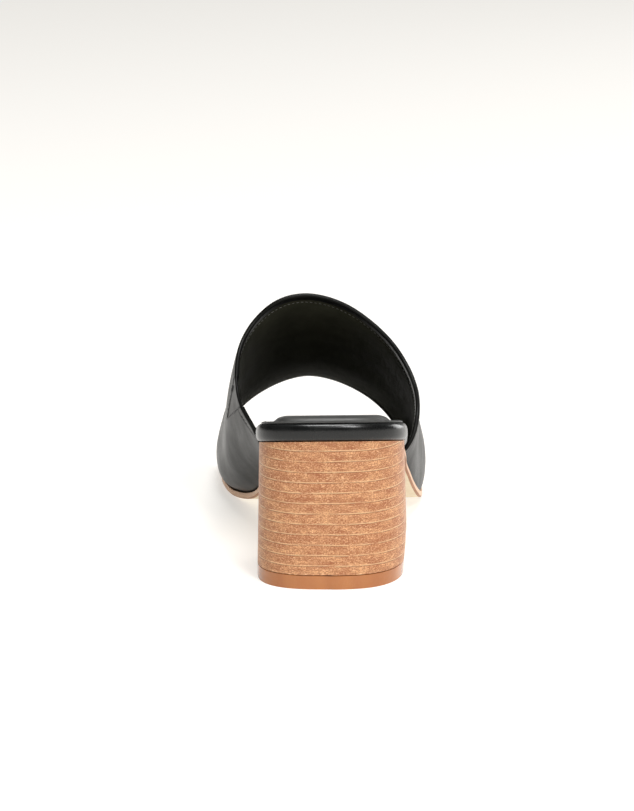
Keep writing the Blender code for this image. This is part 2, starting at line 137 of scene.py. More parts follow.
# Rear edge (topline) and front edge (toe opening) of the upper: place across,
# -1 at the medial sole edge, 0 on the ridge, +1 at the lateral sole edge, and
# share of the length
TOPLINE = [
    (-1.000, 0.254), (-0.960, 0.272), (-0.840, 0.350), (-0.668, 0.436), (-0.544, 0.472),
    (-0.417, 0.504), (-0.260, 0.524), (0.040, 0.536), (0.260, 0.522), (0.510, 0.472),
    (0.630, 0.435), (0.720, 0.400), (0.845, 0.352), (0.960, 0.328), (1.000, 0.322),
]
TOE_EDGE = [
    (-1.000, 0.835), (-0.750, 0.846), (-0.480, 0.868), (-0.250, 0.890), (0.000, 0.899),
    (0.250, 0.888), (0.500, 0.866), (0.650, 0.851), (0.800, 0.837), (1.000, 0.822),
]

# V of the side gore: shares of the length and of the instep height
GORE_POINT = (0.504, 0.494)
GORE_UPPER = (0.453, 0.684)
GORE_LOWER = (0.384, 0.628)
# The gore's panel: how far its cut runs past the legs' ends, how far its face lies
# below the band's, its wall, how far it reaches under the band, and the nick above it
GORE_REACH = 1.5
GORE_SUNK = 0.14 * MM
GORE_WALL = 1.9 * MM
GORE_UNDER = 1.2 * MM
GORE_NICK = 1.1 * MM
GORE_NICK_LENGTH = 2.4 * MM


def put(points):
    """Points measured from the back of the seat, in the frame of the origin."""
    return np.asarray(points) - np.array((0.0, ORIGIN_Y, 0.0))


def curve(rows, column=1):
    """A smooth function through two columns of a table, which doesn't overshoot."""
    xs = np.array([row[0] for row in rows])
    ys = np.array([row[column] for row in rows])
    slopes = np.diff(ys) / np.diff(xs)
    before, after = slopes[:-1], slopes[1:]
    total = np.where(before * after > 0, before + after, 1.0)
    inner = np.where(before * after > 0, 2 * before * after / total, 0.0)
    tangents = np.concatenate(([slopes[0]], inner, [slopes[-1]]))

    def value(x):
        x = np.clip(x, xs[0], xs[-1])
        i = np.clip(np.searchsorted(xs, x, side="right") - 1, 0, len(xs) - 2)
        step = xs[i + 1] - xs[i]
        t = (x - xs[i]) / step
        start = ys[i] * (1 + 2 * t) * (1 - t) ** 2 + tangents[i] * step * t * (1 - t) ** 2
        end = ys[i + 1] * t * t * (3 - 2 * t) - tangents[i + 1] * step * t * t * (1 - t)
        return start + end

    return value


def ease(value):
    """0 below 0, 1 above 1, smooth between."""
    t = np.clip(value, 0.0, 1.0)
    return t * t * (3 - 2 * t)


def bump(value, width):
    """A soft bell, 1 at 0, with about this half width."""
    return np.exp(-((value / width) ** 2))


EDGE_REACH = {side: curve(EDGE[side]) for side in (-1, 1)}
RISE_SHARE = curve(RISE)
SECTION = [curve(SECTIONS, column) for column in range(1, 8)]
REAR = curve(TOPLINE)
FRONT = curve(TOE_EDGE)


def rounded(t, power):
    """A rounded end: 1 until t starts at 0, down to 0 where t is 1."""
    return (1 - np.clip(t, 0.0, 1.0) ** power) ** (1 / power)


def table_edge(side, y):
    """Distance of the sole's edge from the axis, between the seat and the ball."""
    return SEAT_WIDTH / 2 + EDGE_REACH[side](y / LENGTH) * (BALL_WIDTH - SEAT_WIDTH) / 2


def sole_edge(side, y):
    """X of the sole's edge at places along the shoe."""
    y = np.clip(np.asarray(y, float), 0.0, LENGTH)
    seat_end = SEAT_ARC[side]
    ball = EDGE[side][-1][0] * LENGTH
    seat_half = table_edge(side, seat_end) - side * SEAT_CENTRE
    seat = SEAT_CENTRE + side * seat_half * rounded((seat_end - y) / seat_end, SEAT_POWER)
    toe_half = table_edge(side, ball) - side * TOE_TIP
    toe = TOE_TIP + side * toe_half * rounded((y - ball) / (LENGTH - ball), TOE_POWER[side])
    middle = side * table_edge(side, y)
    return np.where(y < seat_end, seat, np.where(y <= ball, middle, toe))


def underside(y):
    """Height of the sole's lower face: heel pitch, flat tread, toe spring."""
    share = np.asarray(y, float) / LENGTH
    spring = TOE_SPRING * (np.clip(share - FLAT_END, 0.0, 1.0) / (1 - FLAT_END)) ** 2
    return np.where(share <= FLAT_END, HEEL_RISE * RISE_SHARE(share), spring)


def bed(y):
    """Height on which the footbed and the edge of the upper sit."""
    return underside(y) + OUTSOLE + GAP


def footbed_top(y):
    """Height of the footbed's upper face."""
    return bed(y) + FOOTBED_SEAT + (FOOTBED_TOE - FOOTBED_SEAT) * ease(np.asarray(y) / LENGTH)


def covered(side, y):
    """1 where the upper's wall stands on the sole's edge, 0 at seat and toe."""
    end = 0 if side < 0 else -1
    rear = TOPLINE[end][1] * LENGTH - UPPER_WALL
    front = TOE_EDGE[end][1] * LENGTH + UPPER_WALL
    return ease((y - rear) / COVER_RAMP + 1) * ease((front - y) / COVER_RAMP + 1)


def raw_skin(u, y):
    """Points of the upper's outer face at places across and along."""
    share = y / LENGTH
    left = u <= 0
    side = np.where(left, -1.0, 1.0)
    edge = np.where(left, sole_edge(-1, y), sole_edge(1, y))
    lean = np.where(left, SECTION[0](share), SECTION[1](share)) * BALL_WIDTH
    power = np.where(left, SECTION[5](share), SECTION[6](share))
    foot = side * edge - UPPER_SET_IN
    widest = foot + lean
    ridge = side * SECTION[2](share) * BALL_WIDTH
    low = SECTION[3](share) * INSTEP_HEIGHT
    high = SECTION[4](share) * INSTEP_HEIGHT
    place = np.abs(u)
    t = np.clip((1 - place) / (1 - WIDEST), 0.0, 1.0)
    angle = np.clip(1 - place / WIDEST, 0.0, 1.0) * math.pi / 2
    below = place > WIDEST
    x = np.where(
        below,
        foot + (widest - foot) * np.sin(t * math.pi / 2) ** FOOT_POWER,
        ridge + (widest - ridge) * np.cos(angle) ** (2 / power),
    )
    z = np.where(below, low * t, low + (high - low) * np.sin(angle) ** (2 / power))
    return np.stack((side * x, y + 0 * u, bed(y) + z), axis=-1)


def blurred(points, axis, cells):
    """A grid of points smoothed along one axis; its two ends stay where they are."""
    points = np.moveaxis(points, axis, 0)
    reach = int(3 * cells)
    weights = np.exp(-0.5 * (np.arange(-reach, reach + 1) / cells) ** 2)
    weights /= weights.sum()
    before = 2 * points[:1] - points[reach:0:-1]
    after = 2 * points[-1:] - points[-2 : -reach - 2 : -1]
    longer = np.concatenate((before, points, after))
    smooth = sum(w * longer[k : k + len(points)] for k, w in enumerate(weights))
    return np.moveaxis(smooth, 0, axis)


def unit(vectors):
    """Vectors at length 1."""
    return vectors / np.linalg.norm(vectors, axis=-1, keepdims=True)


class Skin:
    """The outer face of the band on a fine grid without kinks."""

    ACROSS = 361
    ALONG = 341
    START = 0.20 * LENGTH
    END = 0.96 * LENGTH
    BLUR = 7.0
    LEVEL_FROM = 0.86

    def __init__(self):
        u, y = np.meshgrid(
            np.linspace(-1, 1, self.ACROSS),
            np.linspace(self.START, self.END, self.ALONG),
            indexing="ij",
        )
        self.points = blurred(blurred(raw_skin(u, y), 0, self.BLUR), 1, self.BLUR)
        across = np.gradient(self.points, axis=0)
        self.forward = unit(np.gradient(self.points, axis=1))
        self.normals = unit(np.cross(across, self.forward))

    def read(self, grid, u, y):
        """Values of a grid at places across and along."""
        a = np.clip((u + 1) / 2 * (self.ACROSS - 1), 0, self.ACROSS - 1.001)
        b = np.clip((y - self.START) / (self.END - self.START), 0, 1) * (self.ALONG - 1.001)
        i, j = a.astype(int), b.astype(int)
        s, t = (a - i)[..., None], (b - j)[..., None]
        low = grid[i, j] * (1 - s) + grid[i + 1, j] * s
        high = grid[i, j + 1] * (1 - s) + grid[i + 1, j + 1] * s
        return low * (1 - t) + high * t

    def at(self, u, y):
        return self.read(self.points, u, y)

    def inward(self, u, y):
        """Direction through the wall, level at the foot of the wall."""
        normal = unit(self.read(self.normals, u, y))
        level = np.stack((np.sign(u), 0 * u, 0 * u), axis=-1)
        weight = ease((np.abs(u) - self.LEVEL_FROM) / (1 - self.LEVEL_FROM))[..., None]
        return -unit(normal * (1 - weight) + level * weight)


SKIN = Skin()

# Places across, from the foot of the wall upwards, at which its inner face is read
WALL_PLACES = np.linspace(1.0, 0.4, 90)


def wall_inset(side, y, height):
    """How far inside the sole's edge the wall's inner face lies, at heights over its foot."""
    place, along = np.meshgrid(side * WALL_PLACES, y, indexing="ij")
    inner = SKIN.at(place, along) + SKIN.inward(place, along) * UPPER_WALL
    inset = side * (sole_edge(side, y) - inner[..., 0])
    rise = np.maximum.accumulate(inner[..., 2] - bed(y), axis=0)
    return np.array([np.interp(h, rise[:, i], inset[:, i]) for i, h in enumerate(height)])


def footbed_inset(side, y, height):
    """How far the footbed stands back from the sole's edge at heights."""
    return (wall_inset(side, y, height) + FOOTBED_CLEARANCE) * covered(side, y)


# Angle between faces from which an edge stays sharp, and lengths taken for none
SHARP_ANGLE = math.radians(50)
SAME_PLACE = 2e-6
NO_LENGTH = 1e-6


def placed(name, data):
    """A new object in the scene."""
    obj = bpy.data.objects.new(name, data)
    bpy.context.scene.collection.objects.link(obj)
    return obj


def new_object(name, verts, faces, materials, face_slots=None):
    """A mesh piece in the scene, shaded smooth but for its sharp edges."""
    mesh = bpy.data.meshes.new(name)
    mesh.from_pydata([tuple(v) for v in verts], [], faces)
    for material in materials:
        mesh.materials.append(material)
    if face_slots is not None:
        mesh.polygons.foreach_set("material_index", face_slots)
    bm = bmesh.new()
    bm.from_mesh(mesh)
    bmesh.ops.remove_doubles(bm, verts=bm.verts, dist=SAME_PLACE)
    bmesh.ops.dissolve_degenerate(bm, edges=bm.edges, dist=NO_LENGTH)
    bmesh.ops.recalc_face_normals(bm, faces=bm.faces)
    bm.to_mesh(mesh)
    bm.free()
    mesh.shade_smooth()
    mesh.set_sharp_from_angle(angle=SHARP_ANGLE)
    return placed(name, mesh)


def quads(rings, count, start=0):
    """Faces between closed rings of points, from point `start` on."""
    ends = [(j, (j + 1) % count) for j in range(count)]
    bases = range(start, start + (rings - 1) * count, count)
    return [(i + a, i + count + a, i + count + b, i + b) for i in bases for a, b in ends]


def dress(obj, slot, *nodes):
    """The piece rides on the shoe and stands for these solids."""
    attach(obj, "root")
    if nodes:
        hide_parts(*nodes)


# Rows near an edge of the band: distance from the edge in millimetres. The lining
# starts at row LINED_FROM.
NEAR_ROWS = [0.0, 0.35, 0.8, 1.25, 1.6, 1.85, 2.05, 2.25, 2.45, 2.7, 3.1, 3.8, 4.8, 6.2]
LINED_FROM = 6
ROWS_BETWEEN = 54
NOSE_STEPS = 8
BAND_ACROSS = 240

# Both edges of the band: how far the fold stands out, and the grooves of the seams
EDGE_NOSE = 0.85 * MM
SEAM_PLACE = 2.25 * MM
LINING_SEAM_PLACE = 3.4 * MM
SEAM_WIDTH = 0.42 * MM
SEAM_DEPTH = 0.16 * MM

# Topline: the rim of leather folded inside, and the thinner wall near the edge
RIM_RAISE = 0.12 * MM
RIM_END = 2.05 * MM
RIM_STEP = 0.7 * MM
THINNER = 0.60 * MM
THINNER_LENGTH = 9.0 * MM

# Toe opening: the lining's flare towards the edge, and the lip along it
FLARE = 0.30 * MM
FLARE_LENGTH = 7.0 * MM
LIP = 0.32 * MM
LIP_START = 0.8 * MM
LIP_END = 2.2 * MM

# Foot of the wall: how far its outer face is drawn in, and up to which height
FEATHER = 0.35 * MM
FEATHER_HEIGHT = 1.8 * MM

# Creases of the outer face, troughs below 0 and ridges above: place across and
# share of the length of both ends, half width and height in millimetres
CREASES = [
    ((-0.72, 0.580), (-0.97, 0.610), 10.0, -0.20),
    ((-0.62, 0.520), (-0.93, 0.545), 8.0, 0.12),
    ((-0.80, 0.410), (-0.97, 0.470), 7.0, -0.12),
    ((-0.30, 0.560), (-0.62, 0.640), 10.0, -0.18),
    ((0.12, 0.580), (0.52, 0.660), 11.0, -0.18),
    ((0.68, 0.470), (0.92, 0.600), 10.0, -0.12),
    ((0.76, 0.560), (0.96, 0.690), 10.0, 0.10),
    ((-0.35, 0.800), (-0.85, 0.760), 9.0, -0.15),
    ((0.30, 0.790), (0.82, 0.740), 9.0, -0.15),
]
CREASE_FADE = 6.0 * MM

# Length of the band from its foot to the ridge, and the least slant of the places
# along it that are read from an edge
HALF_GIRTH = 1.05 * BALL_WIDTH
LEAST_SLANT = 0.35


def crease_height(u, y):
    """Sum of the creases at places across and along."""
    scale = np.array((HALF_GIRTH, LENGTH))
    place = np.stack((u * HALF_GIRTH, y), axis=-1)
    total = np.zeros(u.shape)
    for start, end, width, height in CREASES:
        a, b = np.array(start) * scale, np.array(end) * scale
        along = b - a
        t = np.clip(((place - a) @ along) / (along @ along), 0.0, 1.0)
        gap = np.linalg.norm(place - a - t[..., None] * along, axis=-1)
        total += height * MM * bump(gap, width * MM)
    return total


def edge_frame(u, edge):
    """An edge of the band: its y, its outward direction along the surface, and how
    much y changes for a unit of distance from the edge."""
    y = edge(u) * LENGTH
    tangent = unit(np.gradient(SKIN.at(u, y), axis=0))
    normal = -SKIN.inward(u, y)
    inner = unit(np.cross(normal, tangent)) * (1 if edge is REAR else -1)
    forward = unit(SKIN.read(SKIN.forward, u, y))
    rate = 1 / np.maximum(np.abs((inner * forward).sum(-1)), LEAST_SLANT)
    return y, -inner, rate


def thinned(distance):
    """How much thinner the wall is at a distance from the topline."""
    return THINNER * (1 - ease(distance / THINNER_LENGTH))


def band(name, materials, outer, wall, across=BAND_ACROSS, reach=(-1.0, 1.0), fine=True):
    """The band as a closed shell with folded edges and a lining, its outer face at a
    depth below the skin. Slot 0 is the leather, slot 1 the lining inside the rim."""
    u = np.linspace(reach[0], reach[1], across + 1)
    near = np.array(NEAR_ROWS) * MM
    rear, rear_out, rear_rate = edge_frame(u, REAR)
    front, front_out, front_rate = edge_frame(u, FRONT)
    columns = [rear + d * rear_rate for d in near]
    first_inner, last_inner = rear + near[-1] * rear_rate, front - near[-1] * front_rate
    for k in range(1, ROWS_BETWEEN):
        columns.append(first_inner + (last_inner - first_inner) * k / ROWS_BETWEEN)
    columns += [front - d * front_rate for d in near[::-1]]
    y = np.stack(columns, axis=1)
    place = u[:, None] + 0 * y
    to_rear = (y - rear[:, None]) / rear_rate[:, None]
    to_front = (front[:, None] - y) / front_rate[:, None]
    surface = SKIN.at(place, y)
    inward = SKIN.inward(place, y)
    above = surface[..., 2] - bed(y)
    feather = FEATHER * np.clip(1 - above / FEATHER_HEIGHT, 0, 1) ** 2
    outer_depth = outer + feather
    inner_depth = outer + wall - thinned(to_rear)
    if fine:
        to_edge = np.minimum(to_rear, to_front)
        outer_depth += SEAM_DEPTH * bump(to_edge - SEAM_PLACE, SEAM_WIDTH)
        outer_depth -= crease_height(place, y) * ease(to_edge / CREASE_FADE)
        rim = 1 - ease((to_rear - RIM_END) / RIM_STEP + 0.5)
        inner_depth += RIM_RAISE * rim - SEAM_DEPTH * bump(to_rear - LINING_SEAM_PLACE, SEAM_WIDTH)
        inner_depth -= FLARE * (1 - ease(to_front / FLARE_LENGTH))
        inner_depth += LIP * (1 - ease((to_front - LIP_START) / (LIP_END - LIP_START)))
    outside = surface + inward * outer_depth[..., None]
    inside = surface + inward * inner_depth[..., None]
    loops = [outside[:, j] for j in range(outside.shape[1])]
    for end, out, back in ((-1, front_out, False), (0, rear_out, True)):
        a, b = outside[:, end], inside[:, end]
        if back:
            loops += [inside[:, j] for j in range(inside.shape[1] - 1, -1, -1)]
            a, b = b, a
        for k in range(1, NOSE_STEPS):
            angle = math.pi * k / NOSE_STEPS
            middle = (a + b) / 2 + (a - b) / 2 * math.cos(angle)
            loops.append(middle + out * EDGE_NOSE * math.sin(angle))
    grid = np.stack(loops, axis=1)
    count, ring = grid.shape[:2]
    rows = outside.shape[1]
    inside_start = rows + NOSE_STEPS - 1
    inside_end = inside_start + rows - 1
    lined = [int(LINED_FROM <= inside_end - j <= rows - LINED_FROM) for j in range(ring)]
    faces, slots = quads(count, ring), lined * (count - 1)
    for base in (0, (count - 1) * ring):
        for j in range(rows - 1):
            faces.append(tuple(base + k for k in (j, j + 1, inside_end - j - 1, inside_end - j)))
        faces.append(tuple(base + k for k in range(rows - 1, inside_start + 1)))
        faces.append(tuple(base + k % ring for k in range(inside_end, ring + 1)))
        slots += [0] * (rows + 1)
    return new_object(name, put(grid.reshape(-1, 3)), faces, materials, slots)


def gore_wedge(name, shrink, nick=0.0):
    """A wedge through the medial wall, its faces drawn in by `shrink`, and wider by
    `nick` where its upper leg meets the topline."""
    point, notch, lower = (
        Vector((share * LENGTH, height * INSTEP_HEIGHT))
        for share, height in (GORE_POINT, GORE_UPPER, GORE_LOWER)
    )
    leg = (notch - point).normalized()
    away = Vector((-leg.y, leg.x))
    if away.dot(lower - point) > 0:
        away = -away
    upper = point + (notch - point) * GORE_REACH
    lower = point + (lower - point) * GORE_REACH
    middle = (upper + lower) / 2
    half_angle = (upper - point).angle(lower - point) / 2
    shift = (middle - point).normalized() * shrink / math.sin(half_angle)
    corners = [point, upper, lower]
    if nick:
        start = notch - leg * GORE_NICK_LENGTH
        corners = [point, start, start + (leg + away) * nick, upper + away * nick, lower]
    corners = [corner + shift for corner in corners]
    count = len(corners)
    verts = [put((-x, c.x, c.y)) for x in (SEAT_WIDTH / 4, BALL_WIDTH) for c in corners]
    faces = [tuple(range(count)), tuple(range(2 * count - 1, count - 1, -1))]
    for i in range(count):
        k = (i + 1) % count
        faces.append((i, i + count, k + count, k))
    return new_object(name, verts, faces, [])


def cut(obj, cutter, operation):
    """Cut an object by another, or keep what both share, for good."""
    modifier = obj.modifiers.new("cut", "BOOLEAN")
    modifier.operation = operation
    modifier.object = cutter
    modifier.solver = "EXACT"
    bpy.context.view_layer.update()
    deps = bpy.context.evaluated_depsgraph_get()
    mesh = bpy.data.meshes.new_from_object(obj.evaluated_get(deps))
    obj.modifiers.clear()
    old = obj.data
    obj.data = mesh
    bpy.data.meshes.remove(old)
    bpy.data.objects.remove(cutter)


def outline(y):
    """Points and outward directions of the sole's edge for each side."""
    found = {}
    for side in (-1, 1):
        points = np.stack((sole_edge(side, y), y), axis=-1)
        before, after = np.roll(points, 1, axis=0), np.roll(points, -1, axis=0)
        before[0], after[-1] = points[0], points[-1]
        if y[0] == 0.0:
            before[0] = (2 * points[0, 0] - points[1, 0], points[1, 1])
        if y[-1] == LENGTH:
            after[-1] = (2 * points[-1, 0] - points[-2, 0], points[-2, 1])
        along = unit(after - before)
        found[side] = points, np.stack((along[:, 1], -along[:, 0]), axis=-1) * side
    return found


# Places along the shoe: how many at the seat, the sides and the toe, where the
# toe's start, and how much they crowd towards both ends
SEAT_STEPS = 34
SIDE_STEPS = 90
TOE_STEPS = 34
TOE_START = 0.80
SEAT_CROWDING = 2.4
TOE_CROWDING = 2.2


def rungs(start, end):
    """Places along the shoe, close together at the rounded ends."""
    seat, toe = max(SEAT_ARC.values()), TOE_START * LENGTH
    back = seat * (np.arange(SEAT_STEPS) / SEAT_STEPS) ** SEAT_CROWDING
    middle = seat + (toe - seat) * np.arange(SIDE_STEPS) / SIDE_STEPS
    to_tip = (np.arange(TOE_STEPS, -1, -1) / TOE_STEPS) ** TOE_CROWDING
    places = np.concatenate((back, middle, LENGTH - (LENGTH - toe) * to_tip))
    inside = places[(places > start + GAP) & (places < end - GAP)]
    return np.concatenate(([start], inside, [end]))


def plate(name, y, levels, across, materials, slots, crown=None):
    """A body under the foot. `levels` are (offset, height, slot) from the rim of the
    lower face to that of the upper: offset from the sole's edge at a side and places,
    height at places, and slot of the strip above. `across` are the cells over the lower
    and the upper face, `slots` their slots, and `crown` raises the upper face."""
    loops = outline(y)
    parts = []
    for side in (-1, 1):
        points, outward = loops[side]
        for offset, height, _ in levels:
            spot = points + outward * offset(side, y)[:, None]
            parts.append(np.column_stack((spot, height(spot[:, 1]))))
    count, deep = len(y), len(levels)
    medial, lateral = parts[:deep], parts[deep:]
    caps = []
    for rim, pieces in zip((0, -1), across):
        lines = []
        for k in range(1, pieces):
            spot = medial[rim] + (lateral[rim] - medial[rim]) * k / pieces
            if rim and crown:
                spot[:, 2] += crown(spot[:, 0], spot[:, 1])
            lines.append(spot)
        caps.append(lines)
    ring = [*medial, *caps[1], *reversed(lateral), *reversed(caps[0])]
    strips = [level[2] for level in levels[:-1]]
    slot_ring = strips + [slots[1]] * across[1] + strips[::-1] + [slots[0]] * across[0]
    grid = np.stack(ring, axis=1)
    width = grid.shape[1]
    faces, face_slots = quads(count, width), slot_ring * (count - 1)
    for i in (0, count - 1):
        if np.linalg.norm(medial[0][i] - lateral[0][i]) > GAP:
            faces.append(tuple(range(i * width, (i + 1) * width)))
            face_slots.append(slots[0])
    return new_object(name, put(grid.reshape(-1, 3)), faces, materials, face_slots)


# Section of the wrapped edge, bottom to top: drawn in (shares of the bulge), and
# height (share of the thickness)
RAND_SECTION = [
    (1.30, 0.00), (0.85, 0.015), (0.50, 0.07), (0.24, 0.16), (0.08, 0.28),
    (0.02, 0.42), (0.03, 0.55), (0.10, 0.67), (0.25, 0.78), (0.48, 0.87),
    (0.80, 0.94), (1.20, 0.985), (1.65, 1.00),
]


def make_footbed(leather):
    """The wrapped board, its bare edge rounded at the seat and the toe."""

    def level(depth, share):
        def height(y):
            return bed(y) + share * (footbed_top(y) - bed(y))

        def offset(side, y):
            bulge = depth * RAND_BULGE * (1 - covered(side, y))
            return -footbed_inset(side, y, height(y) - bed(y)) - bulge

        return offset, height, 0

    levels = [level(depth, share) for depth, share in RAND_SECTION]
    obj = plate("rand", rungs(0.0, LENGTH), levels, (6, 6), [leather], (0, 0))
    dress(obj, "rand_leather", "footbed")


def rear_curve(x):
    """How far forward the seat's back edge lies at places across."""
    total = np.zeros(np.shape(x))
    for side in (-1, 1):
        half = table_edge(side, SEAT_ARC[side]) - side * SEAT_CENTRE
        total += SEAT_ARC[side] * (1 - rounded(side * (x - SEAT_CENTRE) / half, SEAT_POWER))
    return total


# Cushion: softness of its corners, how far its foot reaches out, how full its
# shoulder is, and how steeply its foot starts
PAD_CORNERS = 5.0
PAD_OUTREACH = 0.40
PAD_FULLNESS = 2.4
PAD_START = 4.0


def pad_height(x, y):
    """The cushion under the sock at the seat, over its place in plan."""
    to_medial = x - sole_edge(-1, y) - PAD_INSET
    to_lateral = sole_edge(1, y) - PAD_INSET - x
    to_back = y - PAD_INSET - rear_curve(x)
    to_front = (PAD_END - y) * PAD_FRONT_FALL
    edges = np.stack((to_medial, to_lateral, to_back, to_front)) / PAD_SLOPE
    nearest = -np.log(np.exp(-PAD_CORNERS * edges).sum(axis=0)) / PAD_CORNERS
    t = np.clip(nearest + PAD_OUTREACH, 0.0, 1.0)
    return PAD_RISE * (1 - (1 - t) ** PAD_FULLNESS) * ease(t * PAD_START)


# Rounded edge of the sock, bottom to top: inset (share of the rounding) and height
# (share of the sock's thickness)
SOCK_SECTION = [(0.0, 0.0), (0.0, 0.35), (0.25, 0.60), (0.60, 0.86), (1.0, 1.0)]
SOCK_ROUNDING = 1.0 * MM
SOCK_SEAM = 1.5 * MM
SOCK_GROOVE = 0.12 * MM
SOCK_GROOVE_REACH = 0.4 * MM
SOCK_ACROSS = 70


def make_sock(lining):
    """The lining sock, raised over the cushion at the seat."""

    def level(inset, rise):
        def offset(side, y):
            cover = covered(side, y)
            margin = SOCK_MARGIN * (1 - cover) + SOCK_MARGIN_COVERED * cover
            return -footbed_inset(side, y, footbed_top(y) - bed(y)) - margin - inset

        def height(y):
            return footbed_top(y) + GAP + rise

        return offset, height, 0

    levels = [level(inset * SOCK_ROUNDING, rise * SOCK) for inset, rise in SOCK_SECTION]
    for step, depth in ((-1, 0), (0, 1), (1, 0)):
        levels.append(level(SOCK_SEAM + step * SOCK_GROOVE_REACH, SOCK - depth * SOCK_GROOVE))
    cells = (2, SOCK_ACROSS)
    obj = plate("sock_lining", rungs(0.0, LENGTH), levels, cells, [lining], (0, 0), pad_height)
    dress(obj, "sock_leather", "sock")


# Section of the outsole's edge, bottom to top: drawn in and height in
# millimetres, and the slot above: 0 edge, 1 underside, 2 the lower corner, dark as painted shade
SOLE_SECTION = [
    (1.00, 0.00, 2), (0.45, 0.05, 2), (0.16, 0.22, 2), (0.03, 0.52, 0), (0.00, 0.90, 0),
    (0.02, 1.60, 0), (0.05, 2.30, 0), (0.15, 2.60, 0), (0.40, 2.70, 0),
]


def make_outsole(materials):
    """The thin sole, from the heel's breast to the toe. Materials by slot."""

    def level(inset, rise, slot):
        def offset(side, y):
            draw_in = BREAST_DRAW_IN * (1 - ease((y - HEEL_DEPTH_TOP) / BREAST_RAMP))
            return -inset * MM - draw_in

        def height(y):
            return underside(y) + rise * MM

        return offset, height, slot

    levels = [level(*row) for row in SOLE_SECTION]
    places = rungs(HEEL_DEPTH_TOP + GAP, LENGTH)
    obj = plate("tan_sole", places, levels, (24, 2), materials, (1, 0))
    dress(obj, "outsole", "outsole")


# Heel: places along each side of its plan, crowded at the back, rings over its
# height, and widths of the soft corners of the block and the lift
HEEL_STEPS = 64
HEEL_CROWDING = 2.0
HEEL_RINGS = 49
HEEL_SOFTNESS = 0.35 * MM
LIFT_SOFTNESS = 0.55 * MM


def heel_outline(inset, depth):
    """Plan of the heel: the seat's curve, drawn in, cut off at the breast."""
    y = depth * (np.arange(HEEL_STEPS + 1) / HEEL_STEPS) ** HEEL_CROWDING
    loops = outline(y)
    sides = {}
    for side in (-1, 1):
        points, outward = loops[side]
        sides[side] = points - outward * inset[side]
        sides[side][-1, 1] = depth
    return np.concatenate((sides[-1][::-1], sides[1][1:]))


def stack(name, rings, materials):
    """A closed body through rings of equal count, low to high."""
    count = len(rings[0])
    faces = quads(len(rings), count)
    for base in (0, (len(rings) - 1) * count):
        for i in range(count // 2):
            faces.append((base + i, base + i + 1, base + count - 2 - i, base + count - 1 - i))
    return new_object(name, put(np.concatenate(rings)), faces, materials)


def bevel(obj, width, segments):
    """Soft corners on a hard piece."""
    modifier = obj.modifiers.new("soft_corners", "BEVEL")
    modifier.width = width
    modifier.segments = segments
    modifier.limit_method = "ANGLE"
    modifier.angle_limit = SHARP_ANGLE


# How far the outer side is tucked in at the floor, up to which height, and where it
# starts and over which stretch it grows (shares of the seat's half width)
TUCK = 1.3 * MM
TUCK_HEIGHT = 15.0 * MM
TUCK_START = 0.3125
TUCK_STRETCH = 0.625


def tucked(plan, z):
    """The heel's plan at a height, its outer side drawn in near the floor."""
    share = plan[:, 0] / (SEAT_WIDTH / 2)
    spot = plan.copy()
    spot[:, 0] -= TUCK * (1 - ease(z / TUCK_HEIGHT)) * ease((share - TUCK_START) / TUCK_STRETCH)
    return spot


def make_heel(stacked):
    """The block: its top follows the seat's pitch, its foot is level."""
    top = heel_outline(HEEL_INSET_TOP, HEEL_DEPTH_TOP)
    tread = heel_outline(HEEL_INSET_TREAD, HEEL_DEPTH_TREAD)
    foot = TOP_PIECE + GAP
    head = bed(top[:, 1]) - GAP
    rings = []
    for share in np.linspace(0, 1, HEEL_RINGS):
        z = foot + (head - foot) * share
        rings.append(np.column_stack((tucked(tread + (top - tread) * share, z), z)))
    obj = stack("stacked_heel", rings, [stacked])
    bevel(obj, HEEL_SOFTNESS, 2)
    dress(obj, "stacked_heel", "heel_block")


def make_top_piece(lift):
    """The lift on the heel's foot, with softened edges."""
    plan = heel_outline(HEEL_INSET_TREAD, HEEL_DEPTH_TREAD)
    rings = [np.column_stack((tucked(plan, z), 0 * plan[:, 0] + z)) for z in (0.0, TOP_PIECE)]
    obj = stack("lift", rings, [lift])
    bevel(obj, LIFT_SOFTNESS, 4)
    dress(obj, "lift", "top_piece")


